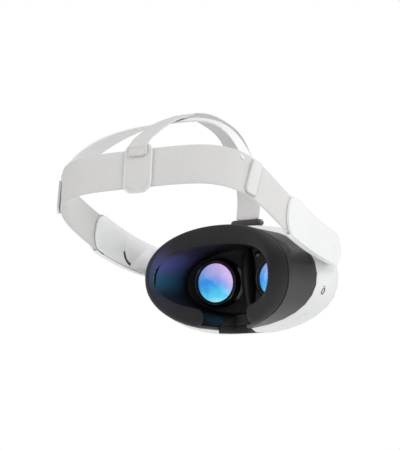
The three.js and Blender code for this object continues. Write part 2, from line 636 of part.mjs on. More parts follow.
// ---------------------------------------------------------------- top strap over the head
const OVER_HEAD = [[-38, 57], [-43, 78], [-36, 105], [-10, 132], [28, 143], [66, 145], [98, 138.5],
  [128, 129], [154, 117], [165.4, 111.6]]
  .map(([y, z]) => new THREE.Vector3(0, y, MID + z));
const overHead = new THREE.CatmullRomCurve3(OVER_HEAD);
const overLength = overHead.getLength();
const STEM_START = overLength * 0.65;

const overStrap = { curve: overHead, across: sideways, thickness: 1.8 };
const mainPart = { ...overStrap, end: STEM_START - 0.5, width: TOP_STRAP_WIDTH, segments: 26 };
piece('top_strap', ribbon(mainPart), CLOTH);
const stemPart = { ...overStrap, start: STEM_START, width: STEM_WIDTH, segments: 14 };
piece('top_strap_stem', ribbon(stemPart), CLOTH);

const tabMiddle = rearCurve.getPointAt(0.5);
const tabEnd = (reach) => tabMiddle.clone().addScaledVector(bandUp(), reach);
const tabCurve = new THREE.LineCurve3(tabEnd(-21), tabEnd(21));
const tab = { curve: tabCurve, width: 25, thickness: 1.8, across: sideways, offset: 2.6, radius: 8 };
piece('hook_tab', ribbon({ ...tab, segments: 14 }), CLOTH);

function strapAnchor() {
  const base = block([36, 9, 1.5], [0, -38, MID + 51.3]);
  const posts = block([3, 4, 5], [16, -38, MID + 53.5]).add(block([3, 4, 5], [-16, -38, MID + 53.5]));
  return base.add(posts).add(rod(1.4, 35, 'x', [0, -38, MID + 55.6], 12));
}

piece('strap_anchor', strapAnchor(), DARK);

// Strap adjusters slide along the band where the crown band forks from it.
for (const [side, sign] of [['left', 1], ['right', -1]]) {
  const middle = (sign > 0 ? 0.22 : 0.78) * rearCurve.getLength();
  const plate = ribbon({ ...band, start: middle - 6, end: middle + 6, width: BAND_WIDTH - 4,
    thickness: 2, offset: 3.2, radius: 4, segments: 12 });
  piece(`strap_slider_${side}`, plate, WHITE);
}

headset.position.y = -ORIGIN_Y;
export default headset;
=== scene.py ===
# %% [markdown]
# # A stand-alone VR headset
#
# The CAD part gives every hard piece its shape, its place and the body that it moves with. This lesson
# dresses it: hard pieces get softened edges and moulded or machined finishes, and the foam, the straps
# and the lenses are modelled again as what they are. All sizes are in metres, in the CAD part's frame:
# +X is the wearer's left, +Y points back to the head, +Z is up, and the visor rests on Z = 0.

# %% Load the frame
import json
import math

import bmesh
import bpy
from mathutils import Matrix, Vector
from mathutils.bvhtree import BVHTree

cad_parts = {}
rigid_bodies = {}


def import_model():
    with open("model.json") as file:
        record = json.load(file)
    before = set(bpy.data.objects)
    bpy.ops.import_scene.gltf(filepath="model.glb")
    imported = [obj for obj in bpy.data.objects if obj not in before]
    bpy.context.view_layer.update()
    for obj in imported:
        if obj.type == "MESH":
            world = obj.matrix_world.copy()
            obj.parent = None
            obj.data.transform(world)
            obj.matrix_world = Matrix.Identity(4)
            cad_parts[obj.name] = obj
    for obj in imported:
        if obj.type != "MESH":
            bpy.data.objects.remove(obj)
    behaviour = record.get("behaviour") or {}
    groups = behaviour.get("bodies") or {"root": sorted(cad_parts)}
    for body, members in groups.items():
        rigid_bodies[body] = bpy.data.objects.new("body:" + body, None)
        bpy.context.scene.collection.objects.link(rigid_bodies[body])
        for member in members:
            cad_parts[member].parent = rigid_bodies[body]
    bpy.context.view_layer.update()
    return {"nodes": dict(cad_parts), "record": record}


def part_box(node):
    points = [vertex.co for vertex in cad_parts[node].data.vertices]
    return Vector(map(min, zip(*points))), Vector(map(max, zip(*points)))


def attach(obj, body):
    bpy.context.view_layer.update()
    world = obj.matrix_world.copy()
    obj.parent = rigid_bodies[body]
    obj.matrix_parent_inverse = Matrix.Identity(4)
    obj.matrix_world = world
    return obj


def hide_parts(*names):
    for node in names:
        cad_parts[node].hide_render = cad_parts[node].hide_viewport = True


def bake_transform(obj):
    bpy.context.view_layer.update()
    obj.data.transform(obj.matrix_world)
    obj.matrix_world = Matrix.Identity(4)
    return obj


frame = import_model()
MM = 0.001

# %% [markdown]
# ## Camera, light and floor
#
# The headset is seen from behind its wearer's right shoulder, from slightly below, through a long lens
# that keeps its proportions calm. A white room with three large soft lamps is the usual way to show
# white plastic: the lamps give the form, and the room fills the shadows. The floor lies well below the
# headset, because this viewpoint is lower than the visor's underside.

# %% Camera
AZIMUTH = math.radians(207.11)
ELEVATION = math.radians(-5.05)
ROLL = math.radians(-2.5)
EYE = Vector((-0.7446, 1.5574, -0.0486))
LENS_LENGTH = 147.5


def make_camera():
    level = Vector((math.cos(AZIMUTH), math.sin(AZIMUTH), 0))
    back = Vector((math.sin(AZIMUTH) * math.cos(ELEVATION), -math.cos(AZIMUTH) * math.cos(ELEVATION),
                   math.sin(ELEVATION)))
    upright = back.cross(level)
    right = level * math.cos(ROLL) + upright * math.sin(ROLL)
    up = upright * math.cos(ROLL) - level * math.sin(ROLL)
    data = bpy.data.cameras.new("camera")
    data.lens = LENS_LENGTH
    data.clip_start = 0.05
    data.clip_end = 50
    camera = bpy.data.objects.new("camera", data)
    camera.matrix_world = Matrix.Translation(EYE) @ Matrix((right, up, back)).transposed().to_4x4()
    bpy.context.scene.collection.objects.link(camera)
    bpy.context.scene.camera = camera
    return camera


make_camera()
print("camera: 147.5 mm lens, from behind the right shoulder")


# %% Light and floor
def white_room(strength):
    world = bpy.data.worlds.new("white room")
    world.use_nodes = True
    tree = world.node_tree
    plain = tree.nodes["Background"]
    plain.inputs["Color"].default_value = (1, 1, 1, 1)
    plain.inputs["Strength"].default_value = strength
    seen = tree.nodes.new("ShaderNodeBackground")
    seen.inputs["Color"].default_value = (1, 1, 1, 1)
    path = tree.nodes.new("ShaderNodeLightPath")
    mix = tree.nodes.new("ShaderNodeMixShader")
    tree.links.new(path.outputs["Is Camera Ray"], mix.inputs["Fac"])
    tree.links.new(plain.outputs[0], mix.inputs[1])
    tree.links.new(seen.outputs[0], mix.inputs[2])
    tree.links.new(mix.outputs[0], tree.nodes["World Output"].inputs["Surface"])
    bpy.context.scene.world = world


def soft_lamp(name, place, target, size, power):
    data = bpy.data.lights.new(name, "AREA")
    data.shape = "RECTANGLE"
    data.size = size[0]
    data.size_y = size[1]
    data.energy = power
    lamp = bpy.data.objects.new(name, data)
    lamp.location = place
    lamp.rotation_mode = "QUATERNION"
    lamp.rotation_quaternion = (Vector(place) - Vector(target)).to_track_quat("Z", "Y")
    bpy.context.scene.collection.objects.link(lamp)


MIDDLE = (0, 0.09, 0.09)
white_room(0.56)
soft_lamp("key", (-1.4, 0.8, 1.4), MIDDLE, (1.2, 1.0), 19)
soft_lamp("fill", (1.5, 1.3, 0.7), MIDDLE, (1.4, 1.2), 8)
soft_lamp("rim", (-0.9, -1.4, 0.9), MIDDLE, (1.2, 0.8), 9)
bpy.context.scene.view_settings.view_transform = "Standard"


def pale_floor(width, height):
    bm = bmesh.new()
    bmesh.ops.create_grid(bm, x_segments=8, y_segments=8, size=width / 2)
    bmesh.ops.translate(bm, verts=bm.verts, vec=(0, 0, height))
    mesh = bpy.data.meshes.new("floor")
    bm.to_mesh(mesh)
    bm.free()
    paint = bpy.data.materials.new("floor paint")
    paint.use_nodes = True
    shader = paint.node_tree.nodes["Principled BSDF"]
    shader.inputs["Base Color"].default_value = (0.88, 0.88, 0.88, 1)
    shader.inputs["Roughness"].default_value = 0.9
    shader.inputs["Emission Color"].default_value = (1, 1, 1, 1)
    shader.inputs["Emission Strength"].default_value = 0.12
    mesh.materials.append(paint)
    floor = bpy.data.objects.new("floor", mesh)
    bpy.context.scene.collection.objects.link(floor)


pale_floor(8.0, -0.30)
print("light: white room, three soft lamps and a pale floor")

# %% [markdown]
# ## Shader building blocks
#
# The same few things happen to many surfaces: fine moulding grain, a slow drift of tone, edges that
# are rubbed lighter, and woven or knitted yarn. Each is a node group, built once and placed in every
# finish with its own values. A small helper adds a node and either sets or wires each of its sockets.


# %% Node helpers
def put(tree, kind, settings=None, **sockets):
    """Adds a node. Each socket is named, or i0, i1... by its place, and takes a value or an output."""
    node = tree.nodes.new("ShaderNode" + kind)
    for key, value in (settings or {}).items():
        setattr(node, key, value)
    for key, value in sockets.items():
        place = int(key[1:]) if key[0] == "i" and key[1:].isdigit() else key.replace("_", " ")
        if isinstance(value, bpy.types.NodeSocket):
            tree.links.new(value, node.inputs[place])
        else:
            node.inputs[place].default_value = value
    return node


def new_group(name, inputs, outputs):
    tree = bpy.data.node_groups.new(name, "ShaderNodeTree")
    for label, value in inputs.items():
        colour = isinstance(value, tuple)
        kind = "NodeSocketColor" if colour else "NodeSocketFloat"
        tree.interface.new_socket(name=label, in_out="INPUT", socket_type=kind).default_value = value
    for label, kind in outputs.items():
        tree.interface.new_socket(name=label, in_out="OUTPUT", socket_type="NodeSocket" + kind)
    return tree, tree.nodes.new("NodeGroupInput"), tree.nodes.new("NodeGroupOutput")


def math_node(tree, operation, a, b=0.0, clamp=False):
    return put(tree, "Math", {"operation": operation, "use_clamp": clamp}, i0=a, i1=b).outputs[0]


def mixed(tree, share, a, b):
    node = put(tree, "Mix", {"data_type": "RGBA"}, i0=share, i6=a, i7=b)
    return node.outputs[2]


def ranged(tree, value, low, high, to_low, to_high):
    node = put(tree, "MapRange", None, Value=value, From_Min=low, From_Max=high,
               To_Min=to_low, To_Max=to_high)
    return node.outputs[0]


# %% Grain, tone and worn edges
def build_moulding():
    """Moulded skin: a slow tone drift in the colour, fine grain for the bump, and lighter rubbed edges."""
    inputs = {"Color": (0.8, 0.8, 0.8, 1), "Worn": (0.9, 0.9, 0.9, 1), "Drift": 0.05, "Wear": 0.3,
              "Grain Scale": 1800.0, "Roughness": 0.5, "Spread": 0.08}
    outputs = {"Color": "Color", "Roughness": "Float", "Height": "Float"}
    tree, given, made = new_group("moulding", inputs, outputs)
    place = put(tree, "TexCoord").outputs["Object"]
    slow = put(tree, "TexNoise", None, Vector=place, Scale=14.0, Detail=3.0, Roughness=0.55).outputs["Fac"]
    grain = put(tree, "TexNoise", None, Vector=place, Scale=given.outputs["Grain Scale"], Detail=2.0)
    shade = math_node(tree, "MULTIPLY", ranged(tree, slow, 0.35, 0.65, 0.0, 1.0), given.outputs["Drift"])
    dark = mixed(tree, shade, given.outputs["Color"], (0, 0, 0, 1))
    sharp = put(tree, "NewGeometry").outputs["Pointiness"]
    edge = ranged(tree, sharp, 0.52, 0.60, 0.0, 1.0)
    rubbed = math_node(tree, "MULTIPLY", edge, ranged(tree, slow, 0.4, 0.6, 0.35, 1.0))
    mask = math_node(tree, "MULTIPLY", rubbed, given.outputs["Wear"], clamp=True)
    tree.links.new(mixed(tree, mask, dark, given.outputs["Worn"]), made.inputs["Color"])
    uneven = math_node(tree, "MULTIPLY", math_node(tree, "SUBTRACT", slow, 0.5), given.outputs["Spread"])
    tree.links.new(math_node(tree, "ADD", given.outputs["Roughness"], uneven), made.inputs["Roughness"])
    tree.links.new(grain.outputs["Fac"], made.inputs["Height"])
    return tree


def build_webbing():
    """Narrow woven webbing: yarns along and across the strap, read from its own map in metres."""
    inputs = {"Color": (0.8, 0.8, 0.8, 1), "Shade": (0.6, 0.6, 0.6, 1), "Yarns": 1500.0}
    tree, given, made = new_group("webbing", inputs, {"Color": "Color", "Height": "Float"})
    place = put(tree, "UVMap", {"uv_map": "strip"}).outputs["UV"]
    split = put(tree, "SeparateXYZ", None, Vector=place)
    along = math_node(tree, "MULTIPLY", split.outputs["X"], given.outputs["Yarns"])
    across = math_node(tree, "MULTIPLY", split.outputs["Y"], given.outputs["Yarns"])
    rib = math_node(tree, "SINE", math_node(tree, "MULTIPLY", across, 2 * math.pi))
    slant = math_node(tree, "ADD", along, math_node(tree, "MULTIPLY", across, 0.5))
    turn = math_node(tree, "MULTIPLY", slant, math.pi)
    twist = math_node(tree, "SINE", turn)
    yarn = math_node(tree, "MULTIPLY", rib, twist)
    height = ranged(tree, yarn, -1.0, 1.0, 0.0, 1.0)
    solid = put(tree, "TexCoord").outputs["Object"]
    fuzz = put(tree, "TexNoise", None, Vector=solid, Scale=420.0, Detail=4.0)
    patch = put(tree, "TexNoise", None, Vector=solid, Scale=22.0, Detail=2.0)
    tone = math_node(tree, "MULTIPLY", height, 0.35)
    tone = math_node(tree, "ADD", tone, math_node(tree, "MULTIPLY", fuzz.outputs["Fac"], 0.35))
    tone = math_node(tree, "ADD", tone, math_node(tree, "MULTIPLY", patch.outputs["Fac"], 0.3))
    tree.links.new(mixed(tree, tone, given.outputs["Shade"], given.outputs["Color"]), made.inputs["Color"])
    tree.links.new(math_node(tree, "ADD", height, math_node(tree, "MULTIPLY", fuzz.outputs["Fac"], 0.4)),
                   made.inputs["Height"])
    return tree


def build_knit():
    """Fine knit over foam: staggered loops on the surface, from a field of Voronoi cells."""
    inputs = {"Color": (0.05, 0.05, 0.05, 1), "Shade": (0.01, 0.01, 0.01, 1), "Loops": 900.0}
    tree, given, made = new_group("knit", inputs, {"Color": "Color", "Height": "Float"})
    place = put(tree, "TexCoord").outputs["Object"]
    cells = put(tree, "TexVoronoi", {"feature": "F1"}, Vector=place, Scale=given.outputs["Loops"],
                Randomness=0.55)
    loops = ranged(tree, cells.outputs["Distance"], 0.0, 0.7, 1.0, 0.0)
    slow = put(tree, "TexNoise", None, Vector=place, Scale=30.0, Detail=3.0).outputs["Fac"]
    tone = math_node(tree, "MULTIPLY", loops, 0.6)
    tone = math_node(tree, "ADD", tone, math_node(tree, "MULTIPLY", slow, 0.5))
    tree.links.new(mixed(tree, tone, given.outputs["Shade"], given.outputs["Color"]), made.inputs["Color"])
    tree.links.new(loops, made.inputs["Height"])
    return tree


MOULDING = build_moulding()
WEBBING = build_webbing()
KNIT = build_knit()
print("groups: moulding, webbing, knit")

# %% [markdown]
# ## Hard finishes
#
# Nearly every hard piece is moulded plastic, painted alloy or machined metal. One function makes them
# all from the moulding group: what differs is the colour, the gloss, how coarse the grain is and how
# much the edges are rubbed. Values that are the same all over a piece sit on the shader itself.


# %% Hard finishes
def shader_of(material):
    material.use_nodes = True
    return material.node_tree, material.node_tree.nodes["Principled BSDF"]


def bumped(tree, height, strength, distance):
    return put(tree, "Bump", None, Height=height, Strength=strength, Distance=distance).outputs["Normal"]


def grey(level, warm=0.0):
    return (level * (1 + warm), level, level * (1 - warm), 1)


def hard_finish(name, colour, worn, roughness=0.5, metallic=0.0, drift=0.05, wear=0.3, grain=1800.0,
                bump=0.25, coat=0.0):
    material = bpy.data.materials.new(name)
    tree, shader = shader_of(material)
    skin = tree.nodes.new("ShaderNodeGroup")
    skin.node_tree = MOULDING
    values = {"Color": colour, "Worn": worn, "Drift": drift, "Wear": wear, "Grain Scale": grain,
              "Roughness": roughness}
    for key, value in values.items():
        skin.inputs[key].default_value = value
    tree.links.new(skin.outputs["Color"], shader.inputs["Base Color"])
    tree.links.new(skin.outputs["Roughness"], shader.inputs["Roughness"])
    tree.links.new(bumped(tree, skin.outputs["Height"], bump, 0.05 * MM), shader.inputs["Normal"])
    shader.inputs["Metallic"].default_value = metallic
    shader.inputs["Coat Weight"].default_value = coat
    shader.inputs["Coat Roughness"].default_value = 0.08
    shader.inputs["Specular IOR Level"].default_value = 0.5
    return material


FINISHES = {
    "shell_white": hard_finish("shell white", grey(0.80, -0.008), grey(0.9), 0.42, bump=0.2),
    "arm_white": hard_finish("arm white", grey(0.83, -0.008), grey(0.92), 0.36, grain=2600.0, bump=0.12),
    "interface_dark": hard_finish("interface charcoal", (0.034, 0.029, 0.031, 1), grey(0.09), 0.38,
                                  grain=2200.0),
    "shroud_black": hard_finish("shroud black", (0.006, 0.006, 0.008, 1), grey(0.03), 0.55,
                                grain=1500.0, bump=0.35),
    "silicone_dark": hard_finish("soft silicone", grey(0.012), grey(0.02), 0.62, drift=0.2, wear=0.1,
                                 grain=900.0),
    "barrel_black": hard_finish("gloss black", grey(0.006), grey(0.03), 0.14, drift=0.0, wear=0.2,
                                bump=0.03, coat=0.6),
    "camera_black": hard_finish("lens black", grey(0.008), grey(0.04), 0.12, drift=0.0, wear=0.1,
                                bump=0.02, coat=0.7),
    "sensor_glass": hard_finish("sensor window", (0.008, 0.008, 0.011, 1), grey(0.04), 0.08,
                                bump=0.01, coat=1.0),
    "display_panel": hard_finish("display", (0.02, 0.04, 0.12, 1), grey(0.1), 0.1, bump=0.01, coat=0.5),
    "steel": hard_finish("turned steel", grey(0.62), grey(0.85), 0.28, metallic=1.0, grain=3200.0, bump=0.15),
    "alloy": hard_finish("cast alloy", grey(0.50), grey(0.75), 0.45, metallic=1.0, grain=1100.0, bump=0.5),
    "copper": hard_finish("copper sheet", (0.72, 0.32, 0.16, 1), (0.9, 0.5, 0.3, 1), 0.3, metallic=1.0),
    "circuit_board": hard_finish("circuit board", (0.01, 0.09, 0.04, 1), (0.6, 0.45, 0.2, 1), 0.35,
                                 grain=500.0),
    "cell_wrap": hard_finish("cell wrap", grey(0.07), grey(0.15), 0.3, grain=300.0, coat=0.3),
    "lamp_lens": hard_finish("lamp lens", grey(0.85), grey(0.95), 0.25, bump=0.02, coat=0.4),
}
SLIDER_FINISH = hard_finish("slider grey", grey(0.70, 0.006), grey(0.85), 0.4, grain=2600.0, bump=0.12)
print(f"{len(FINISHES)} hard finishes")

# %% [markdown]
# ## Cloth finishes
#
# The straps are a close elastic webbing and the face pad is a fine knit over foam. Cloth scatters light
# at its edges, so both get sheen, and their bump comes from the yarn. The strap's weave is read from a
# map laid along each strap, so that it follows every bend.


# %% Cloth finishes
def cloth_finish(name, weave, values, roughness, sheen, bump):
    material = bpy.data.materials.new(name)
    tree, shader = shader_of(material)
    yarn = tree.nodes.new("ShaderNodeGroup")
    yarn.node_tree = weave
    for key, value in values.items():
        yarn.inputs[key].default_value = value
    tree.links.new(yarn.outputs["Color"], shader.inputs["Base Color"])
    tree.links.new(bumped(tree, yarn.outputs["Height"], bump, 0.15 * MM), shader.inputs["Normal"])
    shader.inputs["Roughness"].default_value = roughness
    shader.inputs["Sheen Weight"].default_value = sheen
    shader.inputs["Sheen Roughness"].default_value = 0.5
    return material


FINISHES["strap_cloth"] = cloth_finish("strap webbing", WEBBING, {
    "Color": grey(0.72, 0.010), "Shade": grey(0.56, 0.010), "Yarns": 1100.0}, 0.88, 0.12, 0.3)
FINISHES["foam_dark"] = cloth_finish("face knit", KNIT, {
    "Color": (0.019, 0.018, 0.021, 1), "Shade": (0.005, 0.005, 0.006, 1), "Loops": 1100.0}, 0.85, 0.06, 0.5)
CROWN_CLOTH = cloth_finish("crown webbing", WEBBING, {
    "Color": grey(0.90, 0.006), "Shade": grey(0.76, 0.006), "Yarns": 1100.0}, 0.85, 0.2, 0.25)
PIPING = cloth_finish("strap edge", KNIT, {
    "Color": grey(0.82), "Shade": grey(0.62), "Loops": 1600.0}, 0.8, 0.2, 0.4)
print("cloth finishes: strap webbing, face knit, strap edge")

# %% [markdown]
# ## Coated lenses with a painted glow
#
# Each lens carries a purple and blue coating in front of a lit panel. Its glow is painted: one colour,
# set by place on the lens with a slow warp, is deep blue near the top, lilac towards the outside and
# pale cyan near the cheek, and it is both the glass's colour and its emission, so the glass glows though
# it is no lamp. A thin clear coat gives the glass its sharp highlight.


# %% Coated lenses
def ramp(tree, value, stops):
    node = put(tree, "ValToRGB", None, Fac=value)
    node.color_ramp.interpolation = "EASE"
    while len(node.color_ramp.elements) < len(stops):
        node.color_ramp.elements.new(0.5)
    for element, (place, colour) in zip(node.color_ramp.elements, stops):
        element.position = place
        element.color = colour
    return node.outputs["Color"]


def lens_finish(name, centre, radius):
    material = bpy.data.materials.new(name)
    tree, shader = shader_of(material)
    place = put(tree, "TexCoord").outputs["Object"]
    local = put(tree, "Mapping", {"vector_type": "TEXTURE"}, Vector=place, Location=centre,
                Scale=(radius,) * 3)
    warp = put(tree, "TexNoise", None, Vector=local.outputs["Vector"], Scale=1.3, Detail=2.0).outputs["Color"]
    bent = put(tree, "VectorMath", {"operation": "MULTIPLY_ADD"}, i0=warp, i1=(0.9, 0, 0.9),
               i2=local.outputs["Vector"]).outputs[0]
    split = put(tree, "SeparateXYZ", None, Vector=bent)
    height = ranged(tree, split.outputs["Z"], -0.55, 1.55, 0.0, 1.0)
    lens_glow_by_height = ramp(tree, height, [(0.0, (0.33, 0.86, 0.95, 1)), (0.22, (0.10, 0.62, 0.92, 1)),
                                 (0.45, (0.04, 0.30, 0.80, 1)), (0.72, (0.16, 0.36, 0.80, 1)),
                                 (1.0, (0.30, 0.36, 0.72, 1))])
    slant = math_node(tree, "SUBTRACT", split.outputs["Z"], split.outputs["X"])
    side = ranged(tree, slant, -0.2, 1.1, 0.0, 0.9)
    colour = mixed(tree, side, lens_glow_by_height, (0.72, 0.48, 0.82, 1))
    tree.links.new(colour, shader.inputs["Base Color"])
    # Painted glow: the same colour is sent out as emission, so the glass glows though it is no lamp.
    tree.links.new(colour, shader.inputs["Emission Color"])
    shader.inputs["Emission Strength"].default_value = 0.75
    shader.inputs["Roughness"].default_value = 0.08
    shader.inputs["Coat Weight"].default_value = 0.8
    shader.inputs["Coat Roughness"].default_value = 0.03
    return material


def middle(node):
    low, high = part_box(node)
    return (low + high) / 2


def painted_panel_light(material, across, depth):
    """Paints the panels' blue and violet light, as emission, onto the faces that look inwards at the wearer's
    left.

    It grows from the first place to the second, in metres: across along X, and depth along Y."""
    tree, shader = shader_of(material)
    place = put(tree, "SeparateXYZ", None, Vector=put(tree, "TexCoord").outputs["Object"])
    height = ranged(tree, place.outputs["Z"], 0.020, 0.080, 0.0, 1.0)
    # Painted light: colours by height that stand in for the panels' light falling on the wall.
    painted_light_ramp = ramp(tree, height, [(0.0, (0.012, 0.003, 0.014, 1)), (0.30, (0.006, 0.010, 0.022, 1)),
                               (0.55, (0.012, 0.060, 0.120, 1)), (0.78, (0.045, 0.055, 0.190, 1)),
                               (1.0, (0.030, 0.024, 0.070, 1))])
    outward = ranged(tree, place.outputs["X"], *across, 0.0, 1.0)
    inward = ranged(tree, place.outputs["Y"], *depth, 0.0, 1.0)
    facing = put(tree, "SeparateXYZ", None, Vector=put(tree, "NewGeometry").outputs["Normal"]).outputs["X"]
    facing = ranged(tree, facing, 0.1, -0.5, 0.0, 1.0)
    painted_light_mask = math_node(tree, "MULTIPLY", math_node(tree, "MULTIPLY", outward, inward), facing, clamp=True)
    tree.links.new(mixed(tree, painted_light_mask, (0, 0, 0, 1), painted_light_ramp), shader.inputs["Emission Color"])
    shader.inputs["Emission Strength"].default_value = 1.0


for side in ("left", "right"):
    low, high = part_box(f"lens_{side}")
    centre = tuple(middle(f"lens_{side}"))
    FINISHES[f"lens_{side}"] = lens_finish(f"coated lens with painted glow {side}", centre, (high.x - low.x) / 2)
# Painted light from the lens panels, sent out as emission on the shroud and on the face pad.
painted_panel_light(FINISHES["shroud_black"], across=(0.034, 0.058), depth=(0.010, 0.040))
painted_panel_light(FINISHES["foam_dark"], across=(0.040, 0.056), depth=(0.108, 0.080))
print("lens finishes: left, right, and their light on the dark walls")

# %% [markdown]
# ## Hard pieces
#
# A CAD mesh has knife-sharp edges and flat facets. Each hard piece is copied, its loose triangles are
# merged, flat neighbours are joined, and its sharp edges get a narrow bevel that catches the light. The
# bevel is kept only where it is sound: if it makes the piece grow, the merged copy goes in without it.


# %% Publishing a piece
scene_links = bpy.context.scene.collection.objects
BODY_OF = {node: body for body, nodes in frame["record"]["behaviour"]["bodies"].items() for node in nodes}
SLOT_OF = {row["node"]: row["material_slot"] for row in frame["record"]["subparts"]}


def publish(bm, name, body, material, stands_for=(), sharp=38):
    mesh = bpy.data.meshes.new(name)
    bm.to_mesh(mesh)
    bm.free()
    mesh.materials.append(material)
    mesh.shade_smooth()
    mesh.set_sharp_from_angle(angle=math.radians(sharp))
    piece = bpy.data.objects.new(name, mesh)
    scene_links.link(piece)
    if stands_for:
        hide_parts(*stands_for)
    if body:
        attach(piece, body)
    return piece


# %% Softened edges
def merged(node):
    bm = bmesh.new()
    bm.from_mesh(frame["nodes"][node].data)
    bmesh.ops.remove_doubles(bm, verts=bm.verts, dist=2e-6)
    bmesh.ops.dissolve_limit(bm, angle_limit=math.radians(0.6), verts=bm.verts, edges=bm.edges)
    return bm


def extent(bm):
    corners = [v.co for v in bm.verts]
    return [f(c[i] for c in corners) for f in (min, max) for i in range(3)]


def softened(node, width):
    bm = merged(node)
    before = extent(bm)
    volume = bm.calc_volume()
    corners = [e for e in bm.edges if len(e.link_faces) == 2 and e.calc_face_angle() > math.radians(40)]
    bmesh.ops.bevel(bm, geom=corners, offset=width, offset_type="OFFSET", affect="EDGES", segments=2,
                    profile=0.5, material=-1, clamp_overlap=False, miter_outer="ARC")
    grown = max(abs(a - b) for a, b in zip(before, extent(bm)))
    if grown > 0.15 * MM or abs(bm.calc_volume() - volume) > 0.04 * abs(volume):
        bm.free()
        return merged(node), False
    return bm, True


EDGE_WIDTHS = {"front_cover": 0.5, "rear_shell": 0.5, "arm_left": 0.8, "arm_right": 0.8,
               "arm_liner_left": 0.5, "arm_liner_right": 0.5, "strap_slider_left": 0.6,
               "strap_slider_right": 0.6, "interface_frame": 0.5, "lens_barrel_left": 0.3,
               "lens_barrel_right": 0.3, "lens_shroud": 0.3}
SMALL_EDGE = 0.15
SOFT_NODES = {"face_cushion", "rear_band", "crown_band", "top_strap", "top_strap_stem", "hook_tab",
              "lens_left", "lens_right", "strap_anchor", "audio_jack"}
plain = []
for node in sorted(set(frame["nodes"]) - SOFT_NODES):
    skin, softer = softened(node, EDGE_WIDTHS.get(node, SMALL_EDGE) * MM)
    finish = SLIDER_FINISH if node.startswith("strap_slider") else FINISHES[SLOT_OF[node]]
    publish(skin, f"{node}_skin", BODY_OF[node], finish, [node])
    if not softer:
        plain.append(node)
print(f"{len(frame['nodes']) - len(SOFT_NODES)} hard pieces, without a bevel: {plain}")

# %% [markdown]
# ## Soft pieces by sweeping
#
# Straps and the face pad are long closed skins: one outline carried along a line. At each station a
# circle of corners is laid onto the outline, and neighbouring circles are bridged. The skin also gets a
# map along and across itself, in metres, that the weave reads.


# %% Sweep
def lay_ring(bm, points):
    ring = bmesh.ops.create_circle(bm, segments=len(points), radius=1.0)["verts"]
    for vert, point in zip(ring, points):
        vert.co = point
    edges = {e for v in ring for e in v.link_edges}
    return ring, list(edges)


def sweep(stations, closed=False):
    """A skin through rings of points. Returns the mesh, mapped along and across in metres."""
    bm = bmesh.new()
    rings = [lay_ring(bm, points) for points in stations]
    place = {}
    run = 0.0
    for i, (ring, _) in enumerate(rings):
        if i:
            run += (sum((v.co for v in ring), Vector()) / len(ring)
                    - sum((v.co for v in rings[i - 1][0]), Vector()) / len(ring)).length
        girth = 0.0
        for j, vert in enumerate(ring):
            if j:
                girth += (vert.co - ring[j - 1].co).length
            place[vert] = (run, girth)
    pairs = list(zip(rings, rings[1:])) + ([(rings[-1], rings[0])] if closed else [])
    for (_, before), (_, after) in pairs:
        bmesh.ops.bridge_loops(bm, edges=before + after)
    if not closed:
        bmesh.ops.holes_fill(bm, edges=[e for e in bm.edges if e.is_boundary], sides=0)
    bmesh.ops.recalc_face_normals(bm, faces=bm.faces)
    layer = bm.loops.layers.uv.new("strip")
    for face in bm.faces:
        for loop in face.loops:
            loop[layer].uv = place[loop.vert]
    return bm


def smoothed(piece, levels=1):
    rounding = piece.modifiers.new("rounding", "SUBSURF")
    rounding.levels = levels
    rounding.render_levels = levels
    return piece


print("sweep ready")

# %% [markdown]
# ## Face pad
#
# The pad is foam in a knit sleeve. It rises from a seam on the interface to a rounded rim that leans
# back to the temples, dips at the nose, and ends in a rounded cheek on each side of it. The line round
# the visor is a soft rectangle, and the same share of it carries the pad from its seam to its rim.

# %% Face pad
RIM = (85.0, 46.3)
FACE = (65.0, 47.6)
OUTLINE_POWER = 2.2
VISOR_MIDDLE = 49.0
RIM_Y = 43.0
REACH_TEMPLE = 49.0
REACH_FOREHEAD = 25.5
REACH_CHEEK = 19.5
NOSE_DIP = 26.0
FACE_RISE = 2.2
PAD_OUTLINE = [(0.655, 0.4, 0.4), (0.72, 0.0, 0.0), (0.80, -0.2, -0.2), (0.88, 0.0, 0.2), (0.95, 0.9, 1.2),
               (0.995, 2.6, 3.4), (1.0, 4.6, 7.0), (0.985, 6.6, 11.5), (0.95, 8.2, 15.5), (0.89, 8.9, 17.6),
               (0.81, 8.6, 17.8), (0.74, 7.4, 16.0), (0.69, 5.4, 12.5), (0.655, 3.2, 7.0)]


def powered(value, power):
    return math.copysign(abs(value) ** (2 / power), value)


def face_point(angle, share, inset, drop):
    side = powered(math.cos(angle), OUTLINE_POWER)
    up = powered(math.sin(angle), OUTLINE_POWER)
    base = REACH_FOREHEAD if up > 0 else REACH_CHEEK
    dip = 0.0 if up > 0 else NOSE_DIP * max(0.0, 1 - abs(side) / 0.42)
    reach = base + (REACH_TEMPLE - base) * side * side - dip
    width = RIM[0] + (FACE[0] - RIM[0]) * share - inset
    height = RIM[1] + (FACE[1] - RIM[1]) * share - drop
    return Vector((width * side, RIM_Y + 0.4 * (1 - share) + share * reach,
                   VISOR_MIDDLE + FACE_RISE * share + height * up)) * MM


def pad_ring(angle, swell):
    ring = [face_point(angle, *row) for row in PAD_OUTLINE]
    centre = sum(ring, Vector()) / len(ring)
    return [centre + (point - centre) * swell for point in ring]


PAD_STATIONS = 120
NOSE_ANGLE = math.radians(19)


def face_pad():
    first = -math.pi / 2 + NOSE_ANGLE
    span = 2 * math.pi - 2 * NOSE_ANGLE
    rings = []
    for i in range(PAD_STATIONS + 1):
        share = i / PAD_STATIONS
        to_end = min(share, 1 - share) * span * FACE[0]
        swell = math.sqrt(max(0.0, 1 - (1 - min(1.0, to_end / 6.0 + 0.12)) ** 2))
        rings.append(pad_ring(first + span * share, swell))
    return sweep(rings)


